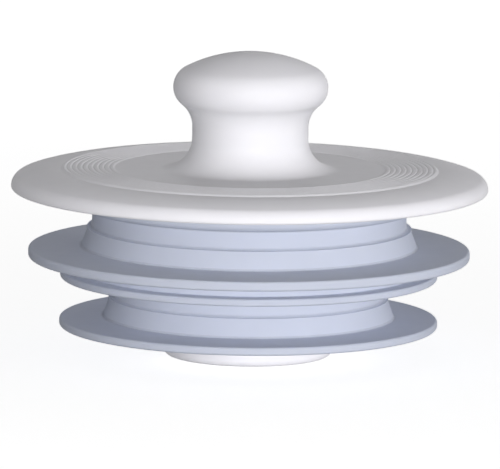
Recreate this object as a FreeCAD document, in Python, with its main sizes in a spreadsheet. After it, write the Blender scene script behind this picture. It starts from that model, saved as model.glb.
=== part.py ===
"""Sink drain stopper: a knobbed cap on a hollow drum that carries two finned silicone seals."""
import FreeCAD
import Part
import Sketcher
import math
import os

# Driving sizes in millimetres. Heights stack up from the foot's flat bottom face, radii outwards from the axis.
SIZES = (
    # The two drain bores that the fins close.
    ("large_drain_radius", 44.45),
    ("small_drain_radius", 38.1),
    # Cap: a thin disc whose full-round rim overlaps the drain's flange, with a raised band of fine rings.
    ("flange_overlap", 3.55),
    ("disc_thickness", 4.25),
    ("cap_wall", 2.6),
    ("rim_round", 2.4),
    ("rim_under_round", 0.55),
    ("shoulder_width", 10.0),
    ("shoulder_drop", 0.15),
    ("band_width", 10.8),
    ("band_rise", 0.15),
    ("band_slope", 0.55),
    ("ring_width", 0.6),
    ("ring_depth", 0.11),
    # Knob: shallow dome, round belly, waist, straight neck and the flare that runs out on the disc.
    ("knob_radius", 15.6),
    ("crown_height", 7.1),
    ("knob_round", 4.35),
    ("neck_radius", 11.7),
    ("neck_length", 2.3),
    ("neck_round", 5.9),
    ("flare_round", 6.2),
    # Cored inside of the cap: room round the screw post, flared mouth, locating collar, ribs, outer recess.
    ("core_gap", 3.0),
    ("knob_roof", 4.6),
    ("bore_round", 1.5),
    ("mouth_spread", 4.8),
    ("mouth_height", 6.0),
    ("post_wall", 1.78),
    ("collar_core", 1.5),
    ("collar_land", 0.9),
    ("rib_thickness", 1.6),
    ("rib_drop", 3.6),
    ("rib_sink", 0.4),
    ("seat_land", 2.2),
    ("rim_land", 3.6),
    ("recess_depth", 1.3),
    ("stiffener_thickness", 1.2),
    # Drum: stepped cup, open at the top, that backs both seals.
    ("drum_radius", 25.1),
    ("drum_step", 4.3),
    ("drum_wall", 2.4),
    ("drum_floor", 3.2),
    ("tube_wall", 2.45),
    ("tube_height", 8.5),
    ("post_gap", 0.3),
    ("web_thickness", 1.6),
    ("web_height", 5.0),
    # Both seals: sleeve on the drum, taper down to the fin, edge, root and ledge rounds.
    ("sleeve_wall", 2.2),
    ("sleeve_taper", 1.0),
    ("fin_edge_round", 0.55),
    ("fin_root_round", 0.45),
    ("ledge_round", 0.65),
    # Upper seal, from the ring it stands on up a coved ledge to the brim under the cap.
    ("base_ring_height", 2.55),
    ("base_ring_reach", 1.0),
    ("upper_fin_thickness", 1.95),
    ("upper_fin_droop", 0.4),
    ("upper_taper_height", 3.05),
    ("upper_step_reach", 1.05),
    ("upper_step_height", 0.8),
    ("upper_band_height", 4.1),
    ("brim_height", 3.5),
    ("brim_reach", 3.6),
    ("brim_round", 1.8),
    # Lower seal, from its holed floor and small fin to the lip under the upper seal.
    ("floor_thickness", 2.2),
    ("lower_fin_thickness", 1.65),
    ("lower_fin_droop", 0.35),
    ("lower_taper_height", 3.2),
    ("lower_step_reach", 0.85),
    ("lower_step_height", 0.7),
    ("lower_band_height", 3.95),
    ("lip_thickness", 1.5),
    ("lip_reach", 3.3),
    ("lip_edge_round", 0.5),
    # Retainer: the foot that clamps the lower seal's floor to the drum.
    ("foot_radius", 17.0),
    ("foot_height", 5.8),
    ("foot_round", 1.3),
    ("foot_skirt", 3.4),
    ("foot_boss_wall", 2.4),
    ("foot_recess_depth", 3.2),
    ("foot_rib_thickness", 1.4),
    ("pilot_radius", 11.0),
    ("pilot_depth", 1.2),
    # Screw, its sealing washer and the threaded insert in the post.
    ("screw_radius", 2.5),
    ("screw_tip", 0.8),
    ("screw_set_back", 0.2),
    ("head_radius", 4.7),
    ("head_height", 2.9),
    ("head_round", 1.0),
    ("head_recess", 0.9),
    ("socket_flat", 1.5),
    ("socket_depth", 1.7),
    ("washer_margin", 0.2),
    ("washer_thickness", 0.8),
    ("insert_radius", 3.4),
    ("insert_length", 9.0),
    ("insert_waist", 0.4),
    ("insert_waist_width", 2.0),
    ("insert_end_room", 1.5),
    # Sealing ring between the collar and the drum.
    ("ring_section_radius", 0.9),
    # Clearances.
    ("ring_play", 0.4),
    ("seal_fit", 0.05),
    ("register_fit", 0.1),
    ("screw_clearance", 0.25),
    ("head_clearance", 0.7),
    ("thread_fit", 0.02),
)
RING_COUNT = 9
KNOB_RIB_COUNT = 6
STIFFENER_COUNT = 12
WEB_COUNT = 6
FOOT_RIB_COUNT = 6
HEX_COUNT = 6
HALF_SHARE = 0.5
FULL_TURN = 360


class Size(float):
    """A length that keeps the sheet formula it comes from, so that sums of sizes can be bound to features."""

    def __new__(cls, value, text):
        size = super().__new__(cls, value)
        size.text = text
        return size

    def join(self, sign, other, value):
        return Size(value, "({} {} {})".format(self.text, sign, formula(other)))

    def __add__(self, other):
        return self.join("+", other, float(self) + float(other))

    def __sub__(self, other):
        return self.join("-", other, float(self) - float(other))

    def __mul__(self, other):
        return self.join("*", other, float(self) * float(other))

    def __truediv__(self, other):
        return self.join("/", other, float(self) / float(other))


def formula(number):
    """Sheet text of a size, or of a plain count or share."""
    return getattr(number, "text", repr(number))


def root(size):
    return Size(math.sqrt(size), "sqrt({})".format(size.text))


doc = FreeCAD.newDocument("drain_stopper")
sheet = doc.addObject("Spreadsheet::Sheet", "Sizes")
for row, (alias, number) in enumerate(SIZES, start=1):
    sheet.set("A{}".format(row), alias)
    sheet.set("B{}".format(row), str(number))
    sheet.setAlias("B{}".format(row), alias)
doc.recompute()


def mm(alias):
    """The sheet's value under an alias, with its formula."""
    return Size(sheet.get(alias), "Sizes." + alias)


ZERO = Size(0, "0")


def new_body(label):
    body = doc.addObject("PartDesign::Body", label)
    body.Label = label
    return body


def origin_feature(body, role):
    return next(item for item in body.Origin.OriginFeatures if item.Role == role)


def new_sketch(body, name, plane):
    sketch = body.newObject("Sketcher::SketchObject", name)
    sketch.AttachmentSupport = (origin_feature(body, plane), "")
    sketch.MapMode = "FlatFace"
    return sketch


def pin_point(sketch, edge, end, across, up):
    """Hold one end of an edge at (across, up) from the sketch origin, bound to the sheet."""
    for kind, axis, size in (("DistanceX", -2, across), ("DistanceY", -1, up)):
        if float(size) == 0:
            sketch.addConstraint(Sketcher.Constraint("PointOnObject", edge, end, axis))
        else:
            index = sketch.addConstraint(Sketcher.Constraint(kind, -1, 1, edge, end, float(size)))
            sketch.setExpression("Constraints[{}]".format(index), size.text)


def arc_edge(start, end, radius, turn):
    """Arc of less than a half circle from start to end; turn is 1 for anticlockwise and -1 for clockwise."""
    chord = end - start
    rise = math.sqrt(max(radius ** 2 - (chord.Length * HALF_SHARE) ** 2, 0))
    side = FreeCAD.Vector(-chord.y, chord.x, 0).normalize()
    center = start + chord * HALF_SHARE + side * rise * turn
    first, last = (start, end) if turn > 0 else (end, start)
    angles = [math.atan2(point.y - center.y, point.x - center.x) for point in (first, last)]
    return Part.ArcOfCircle(Part.Circle(center, FreeCAD.Vector(0, 0, 1), radius), *angles)


def add_loop(sketch, corners):
    """Closed loop through corners (across, up); a third item (radius, turn) bends the edge that follows."""
    spots = [FreeCAD.Vector(float(across), float(up), 0) for across, up, *bend in corners]
    ends = []
    for place, (across, up, *bend) in enumerate(corners):
        start, end = spots[place], spots[(place + 1) % len(spots)]
        if bend:
            radius, turn = bend[0]
            edge = sketch.addGeometry(arc_edge(start, end, float(radius), turn), False)
            index = sketch.addConstraint(Sketcher.Constraint("Radius", edge, float(radius)))
            sketch.setExpression("Constraints[{}]".format(index), radius.text)
            ends.append((edge, 1, 2) if turn > 0 else (edge, 2, 1))
        else:
            ends.append((sketch.addGeometry(Part.LineSegment(start, end), False), 1, 2))
    for place, (across, up, *bend) in enumerate(corners):
        edge, start, _ = ends[place]
        before, _, end = ends[place - 1]
        sketch.addConstraint(Sketcher.Constraint("Coincident", before, end, edge, start))
        pin_point(sketch, edge, start, across, up)


def half_section(body, name, *loops):
    sketch = new_sketch(body, name, "XZ_Plane")
    for corners in loops:
        add_loop(sketch, corners)
    doc.recompute()
    return sketch


def spin(body, name, *loops):
    """Solid of revolution about the stopper's axis."""
    sketch = half_section(body, name + "_section", *loops)
    solid = body.newObject("PartDesign::Revolution", name)
    solid.Profile = sketch
    solid.ReferenceAxis = (sketch, ["V_Axis"])
    solid.Angle = FULL_TURN
    doc.recompute()


def require_change(body, before, name):
    if abs(body.Shape.Volume - before) <= 0:
        raise ValueError(name + " changed nothing")


def spin_cut(body, name, *loops):
    """Turned groove about the stopper's axis."""
    before = body.Shape.Volume
    sketch = half_section(body, name + "_section", *loops)
    cut = body.newObject("PartDesign::Groove", name)
    cut.Profile = sketch
    cut.ReferenceAxis = (sketch, ["V_Axis"])
    cut.Angle = FULL_TURN
    doc.recompute()
    require_change(body, before, name)


def ribs(body, name, corners, thickness, count):
    """Upright rib in the half plane of the section, repeated round the axis."""
    before = body.Shape.Volume
    rib = body.newObject("PartDesign::Pad", name)
    rib.Profile = half_section(body, name + "_section", corners)
    rib.Midplane = True
    rib.Length = float(thickness)
    rib.setExpression("Length", thickness.text)
    doc.recompute()
    pattern = body.newObject("PartDesign::PolarPattern", name + "_round")
    pattern.Originals = [rib]
    pattern.Axis = (origin_feature(body, "Z_Axis"), [""])
    pattern.Angle = FULL_TURN
    pattern.Occurrences = count
    body.Tip = pattern
    doc.recompute()
    require_change(body, before, name)


def hexagon(body, name, corner):
    """Hexagon about the axis, on the level of the body's origin, with its corners on a circle."""
    sketch = new_sketch(body, name, "XY_Plane")
    circle = Part.Circle(FreeCAD.Vector(), FreeCAD.Vector(0, 0, 1), float(corner))
    rim = sketch.addGeometry(circle, True)
    sketch.addConstraint(Sketcher.Constraint("Coincident", rim, 3, -1, 1))
    index = sketch.addConstraint(Sketcher.Constraint("Radius", rim, float(corner)))
    sketch.setExpression("Constraints[{}]".format(index), corner.text)
    spots = [circle.value(math.radians(FULL_TURN * step / HEX_COUNT)) for step in range(HEX_COUNT)]
    lines = [Part.LineSegment(spots[step - 1], spots[step]) for step in range(HEX_COUNT)]
    sides = sketch.addGeometry(lines, False)
    for step, side in enumerate(sides):
        sketch.addConstraint(Sketcher.Constraint("Coincident", sides[step - 1], 2, side, 1))
        sketch.addConstraint(Sketcher.Constraint("PointOnObject", side, 1, rim))
        if step:
            sketch.addConstraint(Sketcher.Constraint("Equal", sides[0], side))
    sketch.addConstraint(Sketcher.Constraint("PointOnObject", sides[1], 1, -1))
    doc.recompute()
    return sketch


def raise_to(body, height):
    body.setExpression("Placement.Base.z", height.text)


def ring_loop(inner, outer, low, high):
    return ((inner, low), (outer, low), (outer, high), (inner, high))


# Levels, from the foot up.
DRUM_Z = mm("foot_height") + mm("floor_thickness")
DRUM_FLOOR_Z = DRUM_Z + mm("drum_floor")
TUBE_Z = DRUM_FLOOR_Z + mm("tube_height")
POST_Z = TUBE_Z + mm("post_gap")
LOWER_EDGE_Z = mm("foot_height") + mm("lower_fin_thickness")
LOWER_ROOT_Z = LOWER_EDGE_Z + mm("lower_fin_droop")
LOWER_STEP_Z = LOWER_ROOT_Z + mm("lower_taper_height")
LOWER_LEDGE_Z = LOWER_STEP_Z + mm("lower_step_height")
LIP_LOW_Z = LOWER_LEDGE_Z + mm("lower_band_height")
LIP_Z = LIP_LOW_Z + mm("lip_thickness")
UPPER_FIN_Z = LIP_Z + mm("base_ring_height")
UPPER_EDGE_Z = UPPER_FIN_Z + mm("upper_fin_thickness")
UPPER_ROOT_Z = UPPER_EDGE_Z + mm("upper_fin_droop")
UPPER_STEP_Z = UPPER_ROOT_Z + mm("upper_taper_height")
UPPER_LEDGE_Z = UPPER_STEP_Z + mm("upper_step_height")
BRIM_Z = UPPER_LEDGE_Z + mm("upper_band_height")
SEAT_Z = BRIM_Z + mm("brim_height")
HEAD_SEAT_Z = mm("head_recess") + mm("head_height")
COUNTERBORE_Z = HEAD_SEAT_Z + mm("washer_thickness")
# Radii, from the screw out to the rim.
HOLE_RADIUS = mm("screw_radius") + mm("screw_clearance")
TUBE_RADIUS = HOLE_RADIUS + mm("tube_wall")
WASHER_RADIUS = mm("head_radius") + mm("washer_margin")
SOCKET_RADIUS = mm("insert_radius") + mm("thread_fit")
DRUM_UPPER_RADIUS = mm("drum_radius") + mm("drum_step")
DRUM_BORE = DRUM_UPPER_RADIUS - mm("drum_wall")
COLLAR_RADIUS = DRUM_BORE - mm("register_fit")
RING_DIAMETER = mm("ring_section_radius") * 2
RING_GROOVE_WIDTH = RING_DIAMETER + mm("ring_play")
LOWER_BORE = mm("drum_radius") + mm("seal_fit")
LOWER_HUB_RADIUS = LOWER_BORE + mm("sleeve_wall")
LOWER_STEP_RADIUS = LOWER_HUB_RADIUS + mm("lower_step_reach")
LOWER_ROOT_RADIUS = LOWER_STEP_RADIUS + mm("sleeve_taper")
UPPER_BORE = DRUM_UPPER_RADIUS + mm("seal_fit")
UPPER_HUB_RADIUS = UPPER_BORE + mm("sleeve_wall")
BRIM_RADIUS = UPPER_HUB_RADIUS + mm("brim_reach")
UPPER_STEP_RADIUS = UPPER_HUB_RADIUS + mm("upper_step_reach")
UPPER_ROOT_RADIUS = UPPER_STEP_RADIUS + mm("sleeve_taper")
BASE_RING_RADIUS = UPPER_ROOT_RADIUS + mm("base_ring_reach")
LIP_RADIUS = BASE_RING_RADIUS + mm("lip_reach")
CAP_RADIUS = mm("large_drain_radius") + mm("flange_overlap")


def make_cap():
    """Disc, knob, screw post and locating collar turned as one moulding, then grooved and ribbed."""
    body = new_body("cap")
    top = SEAT_Z + mm("disc_thickness")
    band_outer = CAP_RADIUS - mm("shoulder_width")
    band_inner = band_outer - mm("band_width")
    band_z = top + mm("band_rise")
    # Neck, then the hollow under the belly, tangent to both.
    flare = mm("flare_round")
    neck = mm("neck_radius")
    waist = mm("neck_round")
    waist_r = neck + waist
    waist_z = top + flare + mm("neck_length")
    belly = mm("knob_round")
    belly_r = mm("knob_radius") - belly
    lean = waist_r - belly_r
    belly_z = waist_z + root((belly + waist) * (belly + waist) - lean * lean)
    share = belly / (belly + waist)
    belly_end = (belly_r + lean * share, belly_z - (belly_z - waist_z) * share)
    # Dome, tangent to the belly.
    crown = mm("crown_height")
    peak = belly_z + crown
    dome = (belly_r * belly_r + crown * crown - belly * belly) / ((crown - belly) * 2)
    dome_z = peak - dome
    reach = dome / (dome - belly)
    dome_end = (belly_r * reach, dome_z + (belly_z - dome_z) * reach)
    # Outer shoulder: level at the band, then tangent to the rim's upper round.
    rim = mm("rim_round")
    rim_z = SEAT_Z + mm("rim_under_round")
    shoulder_top = top - mm("shoulder_drop")
    span = mm("shoulder_width") - rim
    fall = shoulder_top - rim_z
    shoulder = (span * span + fall * fall - rim * rim) / ((fall - rim) * 2)
    shoulder_z = shoulder_top - shoulder
    swing = shoulder / (shoulder - rim)
    shoulder_end = (band_outer + span * swing, shoulder_z + (rim_z - shoulder_z) * swing)
    # Cored inside.
    ceiling = top - mm("cap_wall")
    post = SOCKET_RADIUS + mm("post_wall")
    bore = post + mm("core_gap")
    bore_top = peak - mm("knob_roof")
    mouth = bore + mm("mouth_spread")
    socket_top = POST_Z + mm("insert_length") + mm("insert_end_room")
    collar_inner = COLLAR_RADIUS - RING_DIAMETER - mm("collar_core")
    groove_z = SEAT_Z - mm("collar_land") - RING_GROOVE_WIDTH
    collar_z = groove_z - mm("collar_land")
    spin(body, "cap_turned", (
        (ZERO, peak, (dome, -1)),
        dome_end + ((belly, -1),),
        (mm("knob_radius"), belly_z, (belly, -1)),
        belly_end + ((waist, 1),),
        (neck, waist_z),
        (neck, top + flare, (flare, 1)),
        (neck + flare, top),
        (band_inner, top),
        (band_inner + mm("band_slope"), band_z),
        (band_outer - mm("band_slope"), band_z),
        (band_outer, shoulder_top, (shoulder, -1)),
        shoulder_end + ((rim, -1),),
        (CAP_RADIUS, rim_z, (mm("rim_under_round"), -1)),
        (CAP_RADIUS - mm("rim_under_round"), SEAT_Z),
        (COLLAR_RADIUS, SEAT_Z),
        (COLLAR_RADIUS, collar_z),
        (collar_inner, collar_z),
        (collar_inner, ceiling),
        (mouth, ceiling),
        (bore, ceiling + mm("mouth_height")),
        (bore, bore_top - mm("bore_round"), (mm("bore_round"), 1)),
        (bore - mm("bore_round"), bore_top),
        (post, bore_top),
        (post, POST_Z),
        (SOCKET_RADIUS, POST_Z),
        (SOCKET_RADIUS, socket_top),
        (ZERO, socket_top),
    ))
    # Fine rings in the raised band.
    pitch = mm("band_width") / (RING_COUNT + 1)
    half = mm("ring_width") * HALF_SHARE
    rings = []
    for number in range(1, RING_COUNT + 1):
        middle = band_inner + pitch * number
        rings.append(((middle - half, band_z), (middle, band_z - mm("ring_depth")), (middle + half, band_z)))
    spin_cut(body, "cap_rings", *rings)
    # Groove of the sealing ring in the collar.
    spin_cut(body, "collar_groove", ring_loop(
        COLLAR_RADIUS - RING_DIAMETER, DRUM_BORE, groove_z, groove_z + RING_GROOVE_WIDTH,
    ))
    # Shallow recess under the disc, crossed by stiffeners.
    recess_inner = BRIM_RADIUS + mm("seat_land")
    recess_outer = CAP_RADIUS - mm("rim_land")
    recess_z = SEAT_Z + mm("recess_depth")
    spin_cut(body, "under_recess", ring_loop(recess_inner, recess_outer, collar_z, recess_z))
    sink = mm("rib_sink")
    ribs(body, "stiffener", ring_loop(
        recess_inner - sink, recess_outer + sink, SEAT_Z, recess_z + sink,
    ), mm("stiffener_thickness"), STIFFENER_COUNT)
    # Ribs from the post to the collar, which run up inside the knob.
    rib_z = ceiling - mm("rib_drop")
    ribs(body, "knob_rib", (
        (post - sink, rib_z),
        (collar_inner + sink, rib_z),
        (collar_inner + sink, ceiling + sink),
        (mouth + sink, ceiling + sink),
        (bore + sink, ceiling + mm("mouth_height")),
        (bore + sink, bore_top - mm("bore_round")),
        (post - sink, bore_top - mm("bore_round")),
    ), mm("rib_thickness"), KNOB_RIB_COUNT)
    return body


def make_thread_insert():
    """Threaded bush in the end of the cap's post, with a waist that the plastic holds."""
    body = new_body("thread_insert")
    radius = mm("insert_radius")
    waist = radius - mm("insert_waist")
    low = (mm("insert_length") - mm("insert_waist_width")) * HALF_SHARE
    high = low + mm("insert_waist_width")
    bore = mm("screw_radius") + mm("thread_fit")
    spin(body, "insert_turned", (
        (bore, ZERO),
        (radius, ZERO),
        (radius, low),
        (waist, low + mm("insert_waist")),
        (waist, high - mm("insert_waist")),
        (radius, high),
        (radius, mm("insert_length")),
        (bore, mm("insert_length")),
    ))
    raise_to(body, POST_Z)
    return body


def make_drum():
    """Stepped cup with a screw tube, webbed to its floor."""
    body = new_body("drum")
    lower = mm("drum_radius")
    inner = lower - mm("drum_wall")
    shelf = LIP_Z + mm("drum_wall")
    pilot_top = DRUM_Z + mm("pilot_depth")
    pilot = mm("pilot_radius") + mm("register_fit")
    spin(body, "drum_turned", (
        (pilot, DRUM_Z),
        (lower, DRUM_Z),
        (lower, LIP_Z),
        (DRUM_UPPER_RADIUS, LIP_Z),
        (DRUM_UPPER_RADIUS, SEAT_Z),
        (DRUM_BORE, SEAT_Z),
        (DRUM_BORE, shelf),
        (inner, shelf),
        (inner, DRUM_FLOOR_Z),
        (TUBE_RADIUS, DRUM_FLOOR_Z),
        (TUBE_RADIUS, TUBE_Z),
        (HOLE_RADIUS, TUBE_Z),
        (HOLE_RADIUS, pilot_top),
        (pilot, pilot_top),
    ))
    sink = mm("rib_sink")
    ribs(body, "drum_web", ring_loop(
        TUBE_RADIUS - sink, inner + sink, DRUM_FLOOR_Z - sink, DRUM_FLOOR_Z + mm("web_height"),
    ), mm("web_thickness"), WEB_COUNT)
    return body


def make_sealing_ring():
    """Round-section ring in the collar's groove."""
    body = new_body("sealing_ring")
    section = mm("ring_section_radius")
    middle = DRUM_BORE - section - mm("seal_fit")
    spin(body, "ring_turned", (
        (middle, ZERO, (section, 1)),
        (middle + section, section, (section, 1)),
        (middle, RING_DIAMETER, (section, 1)),
        (middle - section, section, (section, 1)),
    ))
    raise_to(body, SEAT_Z - mm("collar_land") - mm("ring_play") * HALF_SHARE - RING_DIAMETER)
    return body


def fin_edge(radius, low, high, round_size):
    """Tip of a fin from its underside to its upper side, rounded above and below a narrow land."""
    return (
        (radius - round_size, low, (round_size, 1)),
        (radius, low + round_size),
        (radius, high - round_size, (round_size, 1)),
        (radius - round_size, high),
    )


def make_upper_seal():
    """Stepped sleeve with its brim and large fin, standing on the lower seal's lip."""
    body = new_body("upper_seal")
    soft = mm("fin_root_round")
    cove = mm("ledge_round")
    brim = mm("brim_round")
    spin(body, "upper_seal_turned", (
        (UPPER_BORE, LIP_Z),
        (BASE_RING_RADIUS, LIP_Z),
        (BASE_RING_RADIUS, UPPER_FIN_Z - soft, (soft, -1)),
        (BASE_RING_RADIUS + soft, UPPER_FIN_Z),
    ) + fin_edge(mm("large_drain_radius"), UPPER_FIN_Z, UPPER_EDGE_Z, mm("fin_edge_round")) + (
        (UPPER_ROOT_RADIUS + soft, UPPER_ROOT_Z, (soft, -1)),
        (UPPER_ROOT_RADIUS, UPPER_ROOT_Z + soft),
        (UPPER_STEP_RADIUS, UPPER_STEP_Z),
        (UPPER_STEP_RADIUS, UPPER_LEDGE_Z),
        (UPPER_HUB_RADIUS + cove, UPPER_LEDGE_Z, (cove, -1)),
        (UPPER_HUB_RADIUS, UPPER_LEDGE_Z + cove),
        (UPPER_HUB_RADIUS, BRIM_Z - soft, (soft, -1)),
        (UPPER_HUB_RADIUS + soft, BRIM_Z),
        (BRIM_RADIUS - brim, BRIM_Z, (brim, 1)),
        (BRIM_RADIUS, BRIM_Z + brim),
        (BRIM_RADIUS, SEAT_Z),
        (UPPER_BORE, SEAT_Z),
    ))
    return body


def make_lower_seal():
    """Lip, sleeve, small fin and the holed floor under the drum."""
    body = new_body("lower_seal")
    soft = mm("fin_root_round")
    cove = mm("ledge_round")
    hole = mm("pilot_radius") + mm("seal_fit")
    spin(body, "lower_seal_turned", (
        (hole, mm("foot_height")),
    ) + fin_edge(mm("small_drain_radius"), mm("foot_height"), LOWER_EDGE_Z, mm("fin_edge_round")) + (
        (LOWER_ROOT_RADIUS + soft, LOWER_ROOT_Z, (soft, -1)),
        (LOWER_ROOT_RADIUS, LOWER_ROOT_Z + soft),
        (LOWER_STEP_RADIUS, LOWER_STEP_Z),
        (LOWER_STEP_RADIUS, LOWER_LEDGE_Z),
        (LOWER_HUB_RADIUS + cove, LOWER_LEDGE_Z, (cove, -1)),
        (LOWER_HUB_RADIUS, LOWER_LEDGE_Z + cove),
        (LOWER_HUB_RADIUS, LIP_LOW_Z - soft, (soft, -1)),
        (LOWER_HUB_RADIUS + soft, LIP_LOW_Z),
    ) + fin_edge(LIP_RADIUS, LIP_LOW_Z, LIP_Z, mm("lip_edge_round")) + (
        (LOWER_BORE, LIP_Z),
        (LOWER_BORE, DRUM_Z),
        (hole, DRUM_Z),
    ))
    return body


def make_retainer():
    """Foot with a pilot into the drum, a counterbore for the screw and a ribbed recess underneath."""
    body = new_body("retainer")
    foot = mm("foot_radius")
    soft = mm("foot_round")
    pilot_top = DRUM_Z + mm("pilot_depth")
    counterbore = WASHER_RADIUS + mm("head_clearance")
    spin(body, "retainer_turned", (
        (counterbore, ZERO),
        (foot - soft, ZERO, (soft, 1)),
        (foot, soft),
        (foot, mm("foot_height")),
        (mm("pilot_radius"), mm("foot_height")),
        (mm("pilot_radius"), pilot_top),
        (HOLE_RADIUS, pilot_top),
        (HOLE_RADIUS, COUNTERBORE_Z),
        (counterbore, COUNTERBORE_Z),
    ))
    inner = counterbore + mm("foot_boss_wall")
    outer = foot - mm("foot_skirt")
    deep = mm("foot_recess_depth")
    spin_cut(body, "foot_recess", ring_loop(inner, outer, ZERO, deep))
    sink = mm("rib_sink")
    ribs(body, "foot_rib", ring_loop(inner - sink, outer + sink, ZERO + sink, deep + sink),
         mm("foot_rib_thickness"), FOOT_RIB_COUNT)
    return body


def make_screw_washer():
    """Sealing washer under the screw head."""
    body = new_body("screw_washer")
    spin(body, "washer_turned", ring_loop(HOLE_RADIUS, WASHER_RADIUS, ZERO, mm("washer_thickness")))
    raise_to(body, HEAD_SEAT_Z)
    return body


def make_clamp_screw():
    """Screw that pulls cap, drum, seals and foot together; its head points down, with a hexagon socket."""
    body = new_body("clamp_screw")
    shank = mm("screw_radius")
    head = mm("head_radius")
    tip = mm("screw_tip")
    crown = mm("head_round")
    length = POST_Z + mm("insert_length") - mm("screw_set_back") - mm("head_recess")
    spin(body, "screw_turned", (
        (ZERO, ZERO),
        (head - crown, ZERO, (crown, 1)),
        (head, crown),
        (head, mm("head_height")),
        (shank, mm("head_height")),
        (shank, length - tip),
        (shank - tip, length),
        (ZERO, length),
    ))
    before = body.Shape.Volume
    sketch = hexagon(body, "socket_section", mm("socket_flat") / root(Size(3, "3")) * 2)
    cut = body.newObject("PartDesign::Pocket", "socket")
    cut.Profile = sketch
    cut.Reversed = True
    cut.Length = float(mm("socket_depth"))
    cut.setExpression("Length", mm("socket_depth").text)
    doc.recompute()
    require_change(body, before, "socket")
    raise_to(body, mm("head_recess"))
    return body


bodies = [
    make_cap(), make_thread_insert(), make_drum(), make_sealing_ring(), make_upper_seal(),
    make_lower_seal(), make_retainer(), make_screw_washer(), make_clamp_screw(),
]
doc.recompute()
for item in doc.Objects:
    if "Invalid" in item.State or "Error" in item.State:
        raise ValueError("{} failed: {}".format(item.Name, item.State))
for body in bodies:
    if body.Shape.isNull() or not body.Shape.isValid() or len(body.Shape.Solids) != 1:
        raise ValueError(body.Label + " is not one valid solid")
os.makedirs("parts", exist_ok=True)
for body in bodies:
    body.Shape.exportStep("parts/{}.step".format(body.Label))
    box = body.Shape.optimalBoundingBox()
    print("{:14s} volume {:9.1f}  z {:6.2f} to {:6.2f}  radius {:6.2f}".format(
        body.Label, body.Shape.Volume, box.ZMin, box.ZMax, box.XMax))
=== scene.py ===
"""Studio view of a sink drain stopper: white cap and foot round two finned silicone seals."""
import math

import bmesh
import bpy
from mathutils import Matrix, Vector


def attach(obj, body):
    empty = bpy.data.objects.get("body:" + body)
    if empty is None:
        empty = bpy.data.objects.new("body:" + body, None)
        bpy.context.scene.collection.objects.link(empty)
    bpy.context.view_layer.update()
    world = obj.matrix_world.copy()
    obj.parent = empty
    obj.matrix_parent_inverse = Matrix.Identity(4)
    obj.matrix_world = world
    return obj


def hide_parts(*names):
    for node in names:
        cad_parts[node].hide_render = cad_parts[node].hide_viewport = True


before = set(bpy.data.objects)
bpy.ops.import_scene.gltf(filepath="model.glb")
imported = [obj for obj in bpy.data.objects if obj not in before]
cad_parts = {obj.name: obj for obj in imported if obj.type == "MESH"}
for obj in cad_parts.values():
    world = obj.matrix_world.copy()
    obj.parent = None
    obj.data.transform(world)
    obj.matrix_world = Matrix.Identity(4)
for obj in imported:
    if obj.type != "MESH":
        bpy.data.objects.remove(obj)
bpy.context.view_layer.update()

MM = 0.001

# Sizes of the solids, in millimetres.
CAP_RADIUS = 48.0
SEAT_Z = 33.5
TOP_Z = 37.75
SHOULDER_TOP_Z = 37.6
RIM_ROUND = 2.4
RIM_UNDER_ROUND = 0.55
BAND_INNER = 27.2
BAND_OUTER = 38.0
BAND_RISE = 0.15
BAND_SLOPE = 0.55
RING_COUNT = 9
RING_WIDTH = 0.6
RING_DEPTH = 0.11
KNOB_RADIUS = 15.6
KNOB_ROUND = 4.35
CROWN_HEIGHT = 7.1
NECK_RADIUS = 11.7
NECK_LENGTH = 2.3
NECK_ROUND = 5.9
FLARE_ROUND = 6.2
KNOB_BORE = 8.2
KNOB_ROOF = 4.6
BORE_ROUND = 1.5
MOUTH_RADIUS = 13.0
MOUTH_HEIGHT = 6.0
CEILING_Z = 35.15
POST_RADIUS = 5.2
POST_Z = 20.0
SOCKET_RADIUS = 3.42
SOCKET_TOP_Z = 30.5
COLLAR_RADIUS = 26.9
COLLAR_INNER = 23.6
COLLAR_Z = 29.5
RING_GROOVE_RADIUS = 25.1
RING_GROOVE_LOW_Z = 30.4
RING_GROOVE_HIGH_Z = 32.6
RECESS_INNER = 37.45
RECESS_OUTER = 44.4
RECESS_Z = 34.8
STIFFENER_COUNT = 12
STIFFENER_THICKNESS = 1.2

UPPER_BORE = 29.45
BRIM = 35.25
BRIM_Z = 30.0
BRIM_ROUND = 1.8
UPPER_HUB = 31.65
UPPER_STEP = 32.7
UPPER_ROOT = 33.7
UPPER_STEP_Z = 25.1
UPPER_LEDGE_Z = 25.9
UPPER_ROOT_Z = 22.05
UPPER_EDGE_Z = 21.65
UPPER_FIN_Z = 19.7
LARGE_FIN = 44.45
BASE_RING = 34.7
LIP_Z = 17.15
LIP_LOW_Z = 15.65
LIP_RADIUS = 38.0
LOWER_BORE = 25.15
LOWER_HUB = 27.35
LOWER_STEP = 28.2
LOWER_ROOT = 29.2
LOWER_STEP_Z = 11.0
LOWER_LEDGE_Z = 11.7
LOWER_ROOT_Z = 7.8
LOWER_EDGE_Z = 7.45
SMALL_FIN = 38.1
FOOT_Z = 5.8
DRUM_Z = 8.0
FLOOR_HOLE = 11.05
FIN_EDGE_ROUND = 0.55
FIN_ROOT_ROUND = 0.45
LIP_EDGE_ROUND = 0.5
LEDGE_ROUND = 0.65

FOOT_RADIUS = 17.0
FOOT_ROUND = 1.3
PILOT_RADIUS = 11.0
PILOT_Z = 9.2
SCREW_HOLE = 2.75
COUNTERBORE = 5.6
COUNTERBORE_Z = 4.6
FOOT_RECESS_INNER = 8.0
FOOT_RECESS_OUTER = 13.6
FOOT_RECESS_DEPTH = 3.2
FOOT_RIB_COUNT = 6
FOOT_RIB_THICKNESS = 1.4

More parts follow.
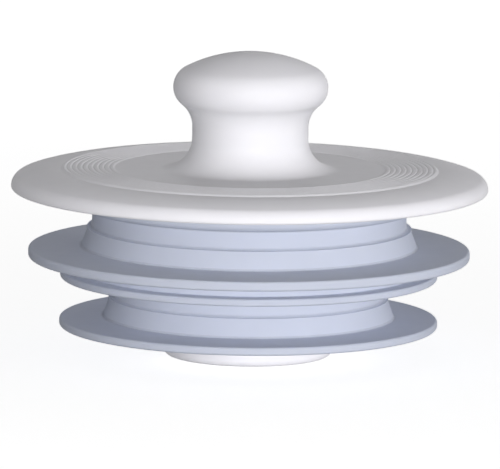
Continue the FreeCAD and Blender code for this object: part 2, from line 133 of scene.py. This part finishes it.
# Fineness of the turned meshes: millimetres and degrees.
COLUMNS = 228
ARC_STEP = 4.0
ARC_CHORD = 0.5
RING_STEPS = 8
CORNER_STEPS = 3
CORNER_TURN = 25.0
CORNER_TURN_LIMIT = 170.0
CORNER_SHARE = 0.42
SHARP_TURN = 32.0
CAP_SOFTNESS = 0.08
SEAL_SOFTNESS = 0.12
FOOT_SOFTNESS = 0.15
BAND_INNER_SLOPE = 0.3
BAND_EDGE = 0.04
GUARD = 0.25
STIFFENER_FLANK = 0.12
STIFFENER_INSET = 0.03
STIFFENER_START = 0.05
FOOT_RIB_FLANK = 0.3
FOOT_RIB_Z = 0.4
FOOT_RIB_SPREAD = 0.1
SAME_POINT = 1e-4
SAME_ANGLE = 1e-3
SLACK = 0.01
TINY = 1e-6


def arc(center, radius, start, end):
    """Points on a circle of the half section, from one angle in degrees to another."""
    turn = end - start
    length = abs(math.radians(turn)) * radius
    count = max(2, math.ceil(abs(turn) / ARC_STEP), math.ceil(length / ARC_CHORD))
    angles = [math.radians(start + turn * step / count) for step in range(count + 1)]
    return [
        (center[0] + radius * math.cos(angle), center[1] + radius * math.sin(angle))
        for angle in angles
    ]


def heading(start, end):
    return math.degrees(math.atan2(end[1] - start[1], end[0] - start[0]))


def tidy_path(points):
    """The same path without doubled points."""
    kept = []
    for point in points:
        if not kept or math.dist(point, kept[-1]) > SAME_POINT:
            kept.append(point)
    return kept


def soften(points, radius, closed):
    """Round every hard corner of a path a little."""
    points = tidy_path(points)
    if closed and math.dist(points[0], points[-1]) < SAME_POINT:
        points.pop()
    count = len(points)
    result = []
    for index, point in enumerate(points):
        if not closed and index in (0, count - 1):
            result.append(point)
            continue
        before, after = points[index - 1], points[(index + 1) % count]
        turn = (heading(point, after) - heading(before, point) + 180.0) % 360.0 - 180.0
        if abs(turn) < CORNER_TURN:
            result.append(point)
            continue
        back, ahead = math.dist(point, before), math.dist(point, after)
        half = math.tan(math.radians(min(abs(turn), CORNER_TURN_LIMIT)) / 2)
        cut = min(radius * half, CORNER_SHARE * back, CORNER_SHARE * ahead)
        first = [point[axis] + (before[axis] - point[axis]) * cut / back for axis in (0, 1)]
        last = [point[axis] + (after[axis] - point[axis]) * cut / ahead for axis in (0, 1)]
        for step in range(CORNER_STEPS + 1):
            share = step / CORNER_STEPS
            weights = ((1 - share) ** 2, 2 * share * (1 - share), share ** 2)
            result.append(tuple(
                weights[0] * first[axis] + weights[1] * point[axis] + weights[2] * last[axis]
                for axis in (0, 1)
            ))
    return tidy_path(result)


def even_angles(extra=()):
    """Column angles in degrees, with more of them where ribs stand."""
    angles = {round(360.0 * step / COLUMNS, 4) for step in range(COLUMNS)}
    angles.update(round(angle % 360.0, 4) for angle in extra)
    return sorted(angles)


def rib_angles(count, half_angle, flank):
    """Angles just inside and just outside the flanks of ribs spaced evenly round the axis."""
    centers = [360.0 * step / count for step in range(count)]
    return [
        center + side * (half_angle + out)
        for center in centers for side in (-1, 1) for out in (0, flank)
    ]


def on_rib(angle, count, half_angle):
    pitch = 360.0 / count
    return abs((angle + pitch / 2) % pitch - pitch / 2) <= half_angle + SAME_ANGLE


def turned(name, profile, closed, angles=None, reshape=None):
    """Mesh of revolution: a closed profile makes a ring, an open one ends on the axis."""
    angles = angles or even_angles()
    verts, rows = [], []
    for radius, height in profile:
        if radius < TINY:
            rows.append([len(verts)])
            verts.append((0.0, 0.0, height * MM))
            continue
        row = []
        for angle in angles:
            high = reshape(radius, height, angle) if reshape else height
            row.append(len(verts))
            turn = math.radians(angle)
            verts.append((
                radius * MM * math.cos(turn), radius * MM * math.sin(turn), high * MM,
            ))
        rows.append(row)
    faces = []
    pairs = list(zip(rows, rows[1:]))
    if closed:
        pairs.append((rows[-1], rows[0]))
    count = len(angles)
    for upper, lower in pairs:
        for step in range(count):
            after = (step + 1) % count
            if len(upper) == 1:
                faces.append((upper[0], lower[step], lower[after]))
            elif len(lower) == 1:
                faces.append((upper[after], upper[step], lower[0]))
            else:
                faces.append((upper[after], upper[step], lower[step], lower[after]))
    return make_piece(name, verts, faces)


def make_piece(name, verts, faces):
    mesh = bpy.data.meshes.new(name)
    mesh.from_pydata(verts, [], faces)
    work = bmesh.new()
    work.from_mesh(mesh)
    bmesh.ops.recalc_face_normals(work, faces=work.faces)
    work.to_mesh(mesh)
    work.free()
    mesh.shade_smooth()
    mesh.set_sharp_from_angle(angle=math.radians(SHARP_TURN))
    mesh.update()
    piece = bpy.data.objects.new(name, mesh)
    bpy.context.scene.collection.objects.link(piece)
    return piece


def dress(piece, node, material):
    """Put a piece in the place of a solid, with its finish."""
    piece.data.materials.append(material)
    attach(piece, "root")
    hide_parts(node)


# Cap.
def ring_dip(middle):
    """One rounded groove of the ring band."""
    points = []
    for step in range(RING_STEPS + 1):
        across = (step / RING_STEPS - 0.5) * RING_WIDTH
        depth = RING_DEPTH * 0.5 * (1 + math.cos(2 * math.pi * across / RING_WIDTH))
        points.append((middle + across, TOP_Z + BAND_RISE - depth))
    return points


def band_step():
    """Sloped inner edge of the ring band; a guard point keeps its shading off the flat."""
    climb = BAND_EDGE * BAND_RISE / BAND_INNER_SLOPE
    return [
        (BAND_INNER - GUARD, TOP_Z),
        (BAND_INNER - BAND_EDGE, TOP_Z),
        (BAND_INNER + BAND_EDGE, TOP_Z + climb),
        (BAND_INNER + BAND_INNER_SLOPE - BAND_EDGE, TOP_Z + BAND_RISE - climb),
        (BAND_INNER + BAND_INNER_SLOPE + BAND_EDGE, TOP_Z + BAND_RISE),
    ]


def cap_profile():
    waist = (NECK_RADIUS + NECK_ROUND, TOP_Z + FLARE_ROUND + NECK_LENGTH)
    belly_r = KNOB_RADIUS - KNOB_ROUND
    reach = KNOB_ROUND + NECK_ROUND
    belly = (belly_r, waist[1] + math.sqrt(reach ** 2 - (waist[0] - belly_r) ** 2))
    peak = belly[1] + CROWN_HEIGHT
    dome_radius = (
        (belly_r ** 2 + CROWN_HEIGHT ** 2 - KNOB_ROUND ** 2) / (2 * (CROWN_HEIGHT - KNOB_ROUND))
    )
    dome = (0.0, peak - dome_radius)
    dome_turn = heading(dome, belly)
    under_turn = heading(belly, waist)
    rim = (CAP_RADIUS - RIM_ROUND, SEAT_Z + RIM_UNDER_ROUND)
    span, fall = rim[0] - BAND_OUTER, SHOULDER_TOP_Z - rim[1]
    shoulder_radius = (span ** 2 + fall ** 2 - RIM_ROUND ** 2) / (2 * (fall - RIM_ROUND))
    shoulder = (BAND_OUTER, SHOULDER_TOP_Z - shoulder_radius)
    shoulder_turn = heading(shoulder, rim)
    flare = (NECK_RADIUS + FLARE_ROUND, TOP_Z + FLARE_ROUND)
    bore_top = peak - KNOB_ROOF
    pitch = (BAND_OUTER - BAND_INNER) / (RING_COUNT + 1)
    points = arc(dome, dome_radius, 90.0, dome_turn)
    points[0] = (0.0, peak)
    points += arc(belly, KNOB_ROUND, dome_turn, under_turn)
    points += arc(waist, NECK_ROUND, under_turn + 180.0, 180.0)
    points += arc(flare, FLARE_ROUND, 180.0, 270.0)
    points += [(NECK_RADIUS + FLARE_ROUND + GUARD, TOP_Z)]
    points += band_step()
    for number in range(1, RING_COUNT + 1):
        points += ring_dip(BAND_INNER + pitch * number)
    points += [(BAND_OUTER - BAND_SLOPE, TOP_Z + BAND_RISE)]
    points += arc(shoulder, shoulder_radius, 90.0, shoulder_turn)
    points += arc(rim, RIM_ROUND, shoulder_turn, 0.0)
    points += arc((CAP_RADIUS - RIM_UNDER_ROUND, rim[1]), RIM_UNDER_ROUND, 0.0, -90.0)
    points += [
        (RECESS_OUTER, SEAT_Z), (RECESS_OUTER, RECESS_Z),
        (RECESS_INNER, RECESS_Z), (RECESS_INNER, SEAT_Z),
        (COLLAR_RADIUS, SEAT_Z), (COLLAR_RADIUS, RING_GROOVE_HIGH_Z),
        (RING_GROOVE_RADIUS, RING_GROOVE_HIGH_Z), (RING_GROOVE_RADIUS, RING_GROOVE_LOW_Z),
        (COLLAR_RADIUS, RING_GROOVE_LOW_Z), (COLLAR_RADIUS, COLLAR_Z),
        (COLLAR_INNER, COLLAR_Z), (COLLAR_INNER, CEILING_Z), (MOUTH_RADIUS, CEILING_Z),
        (KNOB_BORE, CEILING_Z + MOUTH_HEIGHT),
    ]
    points += arc((KNOB_BORE - BORE_ROUND, bore_top - BORE_ROUND), BORE_ROUND, 0.0, 90.0)
    points += [
        (POST_RADIUS, bore_top), (POST_RADIUS, POST_Z),
        (SOCKET_RADIUS, POST_Z), (SOCKET_RADIUS, SOCKET_TOP_Z), (0.0, SOCKET_TOP_Z),
    ]
    return soften(points, CAP_SOFTNESS, False)


def make_cap(material):
    half = math.degrees(STIFFENER_THICKNESS / (RECESS_INNER + RECESS_OUTER))
    rib_low = SEAT_Z + STIFFENER_INSET

    def stiffen(radius, height, angle):
        deep = SEAT_Z + STIFFENER_START < height <= RECESS_Z + TINY
        inside = RECESS_INNER - SLACK < radius < RECESS_OUTER + SLACK
        if deep and inside and on_rib(angle, STIFFENER_COUNT, half):
            return SEAT_Z + (height - SEAT_Z) * (rib_low - SEAT_Z) / (RECESS_Z - SEAT_Z)
        return height

    angles = even_angles(rib_angles(STIFFENER_COUNT, half, STIFFENER_FLANK))
    piece = turned("cap_moulding", cap_profile(), False, angles, stiffen)
    dress(piece, "cap", material)
    # The photo shows next to no light thrown from the disc on to the knob.
    piece.visible_diffuse = False


# Seals.
def fin_edge(radius, low, high, edge_round):
    """Rounded tip of a fin, from its underside to its upper side."""
    center_r = radius - edge_round
    return arc((center_r, low + edge_round), edge_round, -90.0, 0.0) + arc(
        (center_r, high - edge_round), edge_round, 0.0, 90.0)


def ledge(outer, inner, height):
    """Level step of a seal, coved into the narrower tier above it."""
    center = (inner + LEDGE_ROUND, height + LEDGE_ROUND)
    return [(outer, height)] + arc(center, LEDGE_ROUND, 270.0, 180.0)


def upper_seal_profile():
    root = FIN_ROOT_ROUND
    points = [(UPPER_BORE, LIP_Z), (BASE_RING, LIP_Z)]
    points += arc((BASE_RING + root, UPPER_FIN_Z - root), root, 180.0, 90.0)
    points += fin_edge(LARGE_FIN, UPPER_FIN_Z, UPPER_EDGE_Z, FIN_EDGE_ROUND)
    points += arc((UPPER_ROOT + root, UPPER_ROOT_Z + root), root, 270.0, 180.0)
    points += [(UPPER_STEP, UPPER_STEP_Z)]
    points += ledge(UPPER_STEP, UPPER_HUB, UPPER_LEDGE_Z)
    points += arc((UPPER_HUB + root, BRIM_Z - root), root, 180.0, 90.0)
    points += arc((BRIM - BRIM_ROUND, BRIM_Z + BRIM_ROUND), BRIM_ROUND, 270.0, 360.0)
    points += [(BRIM, SEAT_Z), (UPPER_BORE, SEAT_Z)]
    return soften(points, SEAL_SOFTNESS, True)


def lower_seal_profile():
    root = FIN_ROOT_ROUND
    points = [(FLOOR_HOLE, FOOT_Z)]
    points += fin_edge(SMALL_FIN, FOOT_Z, LOWER_EDGE_Z, FIN_EDGE_ROUND)
    points += arc((LOWER_ROOT + root, LOWER_ROOT_Z + root), root, 270.0, 180.0)
    points += [(LOWER_STEP, LOWER_STEP_Z)]
    points += ledge(LOWER_STEP, LOWER_HUB, LOWER_LEDGE_Z)
    points += arc((LOWER_HUB + root, LIP_LOW_Z - root), root, 180.0, 90.0)
    points += fin_edge(LIP_RADIUS, LIP_LOW_Z, LIP_Z, LIP_EDGE_ROUND)
    points += [(LOWER_BORE, LIP_Z), (LOWER_BORE, DRUM_Z), (FLOOR_HOLE, DRUM_Z)]
    return soften(points, SEAL_SOFTNESS, True)


def make_seals(material):
    dress(turned("upper_seal_skin", upper_seal_profile(), True), "upper_seal", material)
    dress(turned("lower_seal_skin", lower_seal_profile(), True), "lower_seal", material)


# Foot.
def retainer_profile():
    points = [
        (COUNTERBORE, 0.0), (FOOT_RECESS_INNER, 0.0), (FOOT_RECESS_INNER, FOOT_RECESS_DEPTH),
        (FOOT_RECESS_OUTER, FOOT_RECESS_DEPTH), (FOOT_RECESS_OUTER, 0.0),
    ]
    points += arc((FOOT_RADIUS - FOOT_ROUND, FOOT_ROUND), FOOT_ROUND, -90.0, 0.0)
    points += [
        (FOOT_RADIUS, FOOT_Z), (PILOT_RADIUS, FOOT_Z), (PILOT_RADIUS, PILOT_Z),
        (SCREW_HOLE, PILOT_Z), (SCREW_HOLE, COUNTERBORE_Z), (COUNTERBORE, COUNTERBORE_Z),
    ]
    return soften(points, FOOT_SOFTNESS, True)


def make_retainer(material):
    half = math.degrees(FOOT_RIB_THICKNESS / (FOOT_RECESS_INNER + FOOT_RECESS_OUTER))

    def stiffen(radius, height, angle):
        inside = FOOT_RECESS_INNER - SLACK < radius < FOOT_RECESS_OUTER + SLACK
        deep = FOOT_RIB_Z < height < FOOT_RECESS_DEPTH + SLACK
        if inside and deep and on_rib(angle, FOOT_RIB_COUNT, half):
            rise = (height - FOOT_RIB_Z) / (FOOT_RECESS_DEPTH - FOOT_RIB_Z)
            return FOOT_RIB_Z + FOOT_RIB_SPREAD * rise
        return height

    angles = even_angles(rib_angles(FOOT_RIB_COUNT, half, FOOT_RIB_FLANK))
    piece = turned("foot_moulding", retainer_profile(), True, angles, stiffen)
    dress(piece, "retainer", material)


# Materials.
# Painted shade in creases: occlusion reach, darkest share, occlusion range and samples.
CREASE_REACH = 0.85 * MM
CREASE_DARK = 0.05
CREASE_FROM = 0.62
CREASE_TO = 0.85
CREASE_SAMPLES = 8


def add_node(tree, kind, **inputs):
    """A node with its named inputs set."""
    node = tree.nodes.new(kind)
    for name, value in inputs.items():
        node.inputs[name.replace("_", " ")].default_value = value
    return node


def new_material(name):
    material = bpy.data.materials.new(name)
    material.use_nodes = True
    tree = material.node_tree
    tree.nodes.clear()
    shader = tree.nodes.new("ShaderNodeBsdfPrincipled")
    output = tree.nodes.new("ShaderNodeOutputMaterial")
    tree.links.new(shader.outputs["BSDF"], output.inputs["Surface"])
    coords = tree.nodes.new("ShaderNodeTexCoord")
    return material, tree, shader, coords.outputs["Object"]


def noise(tree, place, scale, detail):
    node = add_node(tree, "ShaderNodeTexNoise", Scale=scale, Detail=detail)
    tree.links.new(place, node.inputs["Vector"])
    return node.outputs["Fac"]


def spread(tree, value, low, high, start=0.3, end=0.7):
    """Map a noise to a range of values."""
    node = add_node(
        tree, "ShaderNodeMapRange", From_Min=start, From_Max=end, To_Min=low, To_Max=high,
    )
    tree.links.new(value, node.inputs["Value"])
    return node.outputs["Result"]


def tint(tree, value, dark, light, start=0.3, end=0.7):
    """Map a noise to a range of colours."""
    ramp = tree.nodes.new("ShaderNodeValToRGB")
    ramp.color_ramp.elements[0].position = start
    ramp.color_ramp.elements[0].color = (*dark, 1.0)
    ramp.color_ramp.elements[1].position = end
    ramp.color_ramp.elements[1].color = (*light, 1.0)
    tree.links.new(value, ramp.inputs["Fac"])
    return ramp.outputs["Color"]


def bump(tree, height, distance, strength, under=None):
    """Surface normal from a height, over another bump where one is given."""
    node = add_node(tree, "ShaderNodeBump", Distance=distance, Strength=strength)
    tree.links.new(height, node.inputs["Height"])
    if under:
        tree.links.new(under, node.inputs["Normal"])
    return node.outputs["Normal"]


def paint_crease_shade(tree, colour):
    """Darken a colour in narrow creases with painted shade, which soft light alone leaves too
    pale.
    """
    hollow = add_node(tree, "ShaderNodeAmbientOcclusion", Distance=CREASE_REACH)
    hollow.samples = CREASE_SAMPLES
    hollow.only_local = True
    # Painted shade: the colour is scaled down where the crease occlusion is low.
    share = spread(tree, hollow.outputs["AO"], CREASE_DARK, 1.0, CREASE_FROM, CREASE_TO)
    dim = tree.nodes.new("ShaderNodeVectorMath")
    dim.operation = "SCALE"
    tree.links.new(colour, dim.inputs[0])
    tree.links.new(share, dim.inputs["Scale"])
    return dim.outputs["Vector"]


def plastic(name, dark, light, rough_low, rough_high):
    """Satin moulded plastic: faint cloudiness, a fine spark texture and slow waves."""
    material, tree, shader, place = new_material(name)
    cloud = noise(tree, place, scale=90.0, detail=3.0)
    grain = noise(tree, place, scale=5200.0, detail=2.0)
    wave = noise(tree, place, scale=130.0, detail=1.0)
    polish = noise(tree, place, scale=420.0, detail=4.0)
    slow = bump(tree, wave, distance=0.12 * MM, strength=0.08)
    fine = bump(tree, grain, distance=0.02 * MM, strength=0.16, under=slow)
    tree.links.new(tint(tree, cloud, dark, light), shader.inputs["Base Color"])
    tree.links.new(spread(tree, polish, rough_low, rough_high), shader.inputs["Roughness"])
    tree.links.new(fine, shader.inputs["Normal"])
    shader.inputs["IOR"].default_value = 1.49
    shader.inputs["Specular IOR Level"].default_value = 0.25
    shader.inputs["Subsurface Weight"].default_value = 0.06
    shader.inputs["Subsurface Radius"].default_value = (0.0008, 0.0008, 0.0009)
    shader.inputs["Subsurface Scale"].default_value = 1.0
    return material


def silicone(name, dark, light):
    """Soft satin silicone: cloudy body with painted shade in its creases, matte skin with a
    fine bloom.
    """
    material, tree, shader, place = new_material(name)
    cloud = noise(tree, place, scale=70.0, detail=4.0)
    skin = noise(tree, place, scale=3600.0, detail=3.0)
    wave = noise(tree, place, scale=160.0, detail=2.0)
    bloom = noise(tree, place, scale=300.0, detail=5.0)
    slow = bump(tree, wave, distance=0.2 * MM, strength=0.1)
    fine = bump(tree, skin, distance=0.03 * MM, strength=0.2, under=slow)
    # The base colour carries painted shade in the seal's creases.
    tree.links.new(paint_crease_shade(tree, tint(tree, cloud, dark, light)), shader.inputs["Base Color"])
    tree.links.new(spread(tree, bloom, low=0.58, high=0.72), shader.inputs["Roughness"])
    tree.links.new(fine, shader.inputs["Normal"])
    shader.inputs["IOR"].default_value = 1.41
    shader.inputs["Specular IOR Level"].default_value = 0.12
    shader.inputs["Subsurface Weight"].default_value = 0.12
    shader.inputs["Subsurface Radius"].default_value = (0.0009, 0.001, 0.0013)
    shader.inputs["Subsurface Scale"].default_value = 1.0
    return material


def rubber(name, dark, light):
    """Matte sealing rubber with fine specks."""
    material, tree, shader, place = new_material(name)
    speck = noise(tree, place, scale=2400.0, detail=4.0)
    bloom = noise(tree, place, scale=500.0, detail=4.0)
    tree.links.new(tint(tree, speck, dark, light), shader.inputs["Base Color"])
    tree.links.new(spread(tree, bloom, low=0.55, high=0.75), shader.inputs["Roughness"])
    tree.links.new(bump(tree, speck, distance=0.04 * MM, strength=0.3), shader.inputs["Normal"])
    return material


def metal(name, dark, light, rough_low, rough_high):
    """Turned metal: fine rings round the axis and slight tarnish."""
    material, tree, shader, place = new_material(name)
    rings = tree.nodes.new("ShaderNodeTexWave")
    rings.wave_type = "RINGS"
    rings.rings_direction = "Z"
    rings.inputs["Scale"].default_value = 900.0
    rings.inputs["Distortion"].default_value = 1.5
    rings.inputs["Detail"].default_value = 3.0
    tree.links.new(place, rings.inputs["Vector"])
    stain = noise(tree, place, scale=260.0, detail=5.0)
    ridged = bump(tree, rings.outputs["Fac"], distance=0.02 * MM, strength=0.25)
    tree.links.new(tint(tree, stain, dark, light), shader.inputs["Base Color"])
    tree.links.new(spread(tree, stain, rough_low, rough_high), shader.inputs["Roughness"])
    tree.links.new(ridged, shader.inputs["Normal"])
    shader.inputs["Metallic"].default_value = 1.0
    return material


# Stage.
CAMERA_ELEVATION = math.radians(8.569)
CAMERA_ROLL = math.radians(0.66)
PIXEL = 0.20123 * MM
REFERENCE_Z = 29.16 * MM
PICTURE_DISTANCE = 10130.0
PICTURE_WIDTH = 500.0
CENTER_RIGHT = 0.572
CENTER_DOWN = 23.65
SENSOR = 36.0
CAMERA_REACH = 20.0
LAMP_DISTANCE = 1.6
FLOOR_HALF = 4.0
FLOOR_Z = -0.05 * MM
FLOOR_BOUNCE = 0.55
GLOW_NEAR = 60.0 * MM
GLOW_FAR = 500.0 * MM
GLOW_RISE = 0.16


def make_camera():
    """Camera at the photo's height, distance and slight roll."""
    back = Vector((0.0, -math.cos(CAMERA_ELEVATION), math.sin(CAMERA_ELEVATION)))
    level = Vector((1.0, 0.0, 0.0))
    rise = back.cross(level)
    right = level * math.cos(CAMERA_ROLL) + rise * math.sin(CAMERA_ROLL)
    up = rise * math.cos(CAMERA_ROLL) - level * math.sin(CAMERA_ROLL)
    reference = Vector((0.0, 0.0, REFERENCE_Z))
    eye = reference + back * PICTURE_DISTANCE * PIXEL
    target = reference + (right * CENTER_RIGHT - up * CENTER_DOWN) * PIXEL
    away = (eye - target).normalized()
    right = up.cross(away).normalized()
    up = away.cross(right)
    data = bpy.data.cameras.new("camera")
    data.sensor_width = SENSOR
    data.lens = SENSOR * PICTURE_DISTANCE / PICTURE_WIDTH
    data.clip_end = CAMERA_REACH
    camera = bpy.data.objects.new("camera", data)
    turn = Matrix((right, up, away)).transposed().to_4x4()
    camera.matrix_world = Matrix.Translation(eye) @ turn
    bpy.context.scene.collection.objects.link(camera)
    bpy.context.scene.camera = camera


def softbox(name, azimuth, elevation, size, level, mirrored=True):
    """Shadowless area lamp that faces the stopper.

    The azimuth is to the right of the camera, and the level is what a white that faces it gets.
    """
    turn, rise = math.radians(azimuth), math.radians(elevation)
    flat = math.cos(rise)
    away = Vector((math.sin(turn) * flat, -math.cos(turn) * flat, math.sin(rise)))
    data = bpy.data.lights.new(name, "AREA")
    data.shape = "RECTANGLE"
    data.size, data.size_y = size
    data.energy = level * (math.pi * LAMP_DISTANCE) ** 2
    data.use_shadow = False
    lamp = bpy.data.objects.new(name, data)
    lamp.visible_glossy = mirrored
    lamp.location = Vector((0.0, 0.0, REFERENCE_Z)) + away * LAMP_DISTANCE
    lamp.rotation_mode = "QUATERNION"
    lamp.rotation_quaternion = away.to_track_quat("Z", "Y")
    bpy.context.scene.collection.objects.link(lamp)


def seen_directly(tree):
    """1 for camera, mirror and see-through rays, 0 for the rays that light things."""
    path = tree.nodes.new("ShaderNodeLightPath")
    total = path.outputs["Is Camera Ray"]
    for name in ("Is Glossy Ray", "Is Transmission Ray"):
        join = tree.nodes.new("ShaderNodeMath")
        join.operation = "MAXIMUM"
        tree.links.new(total, join.inputs[0])
        tree.links.new(path.outputs[name], join.inputs[1])
        total = join.outputs[0]
    return total


def make_world(ambient):
    """White to look at, with a dimmer even light."""
    world = bpy.data.worlds.new("studio")
    bpy.context.scene.world = world
    world.use_nodes = True
    tree = world.node_tree
    tree.nodes.clear()
    white = add_node(tree, "ShaderNodeBackground", Color=(1.0, 1.0, 1.0, 1.0), Strength=1.0)
    light = add_node(tree, "ShaderNodeBackground", Color=(1.0, 1.0, 1.0, 1.0), Strength=ambient)
    mix = tree.nodes.new("ShaderNodeMixShader")
    output = tree.nodes.new("ShaderNodeOutputWorld")
    tree.links.new(seen_directly(tree), mix.inputs["Fac"])
    tree.links.new(light.outputs[0], mix.inputs[1])
    tree.links.new(white.outputs[0], mix.inputs[2])
    tree.links.new(mix.outputs[0], output.inputs["Surface"])


def make_floor(glow, pale):
    """Pale floor that reads as white and keeps a faint shadow."""
    corners = ((-1, -1), (1, -1), (1, 1), (-1, 1))
    verts = [(FLOOR_HALF * x, FLOOR_HALF * y, FLOOR_Z) for x, y in corners]
    floor = make_piece("floor", verts, [(0, 1, 2, 3)])
    material = bpy.data.materials.new("floor_paper")
    material.use_nodes = True
    tree = material.node_tree
    tree.nodes.clear()
    shade = add_node(tree, "ShaderNodeBsdfDiffuse", Color=(pale, pale, pale, 1.0))
    shine = add_node(tree, "ShaderNodeEmission", Color=(1.0, 1.0, 1.0, 1.0))
    place = tree.nodes.new("ShaderNodeTexCoord")
    away = tree.nodes.new("ShaderNodeVectorMath")
    away.operation = "LENGTH"
    tree.links.new(place.outputs["Object"], away.inputs[0])
    fade = spread(tree, away.outputs["Value"], glow, glow + GLOW_RISE, GLOW_NEAR, GLOW_FAR)
    tree.links.new(fade, shine.inputs["Strength"])
    both = tree.nodes.new("ShaderNodeAddShader")
    plain = add_node(tree, "ShaderNodeBsdfDiffuse", Color=(*[FLOOR_BOUNCE] * 3, 1.0))
    mix = tree.nodes.new("ShaderNodeMixShader")
    output = tree.nodes.new("ShaderNodeOutputMaterial")
    tree.links.new(shade.outputs[0], both.inputs[0])
    tree.links.new(shine.outputs[0], both.inputs[1])
    tree.links.new(seen_directly(tree), mix.inputs["Fac"])
    tree.links.new(plain.outputs[0], mix.inputs[1])
    tree.links.new(both.outputs[0], mix.inputs[2])
    tree.links.new(mix.outputs[0], output.inputs["Surface"])
    floor.data.materials.append(material)


def finish_solid(node, material):
    """Give a solid that stays in view a better material."""
    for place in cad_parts[node].material_slots:
        place.material = material


white = plastic(
    "white_satin_plastic", (0.784, 0.775, 0.812), (0.806, 0.797, 0.835),
    rough_low=0.48, rough_high=0.6,
)
natural = plastic(
    "natural_plastic", (0.70, 0.71, 0.72), (0.76, 0.77, 0.78),
    rough_low=0.4, rough_high=0.55,
)
soft_blue = silicone("blue_grey_silicone", (0.5, 0.53, 0.623), (0.519, 0.55, 0.646))
black = rubber("black_seal_rubber", (0.018, 0.018, 0.019), (0.034, 0.034, 0.036))
steel = metal(
    "stainless_steel", (0.50, 0.51, 0.52), (0.63, 0.64, 0.65),
    rough_low=0.22, rough_high=0.36,
)
brass = metal(
    "turned_brass", (0.62, 0.45, 0.18), (0.76, 0.59, 0.28),
    rough_low=0.24, rough_high=0.4,
)

make_cap(white)
make_seals(soft_blue)
make_retainer(white)
finish_solid("drum", natural)
finish_solid("thread_insert", brass)
finish_solid("sealing_ring", black)
finish_solid("screw_washer", black)
finish_solid("clamp_screw", steel)

bpy.context.scene.view_settings.view_transform = "Standard"
make_camera()
make_world(ambient=0.138)
softbox("key_front", azimuth=0.0, elevation=6.0, size=(0.6, 0.4), level=0.705)
softbox("key_side", azimuth=38.0, elevation=6.0, size=(0.6, 0.4), level=0.345)
softbox("fill_top", azimuth=0.0, elevation=89.0, size=(0.8, 0.8), level=0.102)
softbox("fill_right", azimuth=105.0, elevation=4.0, size=(0.6, 0.4), level=0.209)
softbox("fill_back", azimuth=180.0, elevation=-4.0, size=(0.6, 0.4), level=0.5, mirrored=False)
make_floor(glow=0.62, pale=0.9)
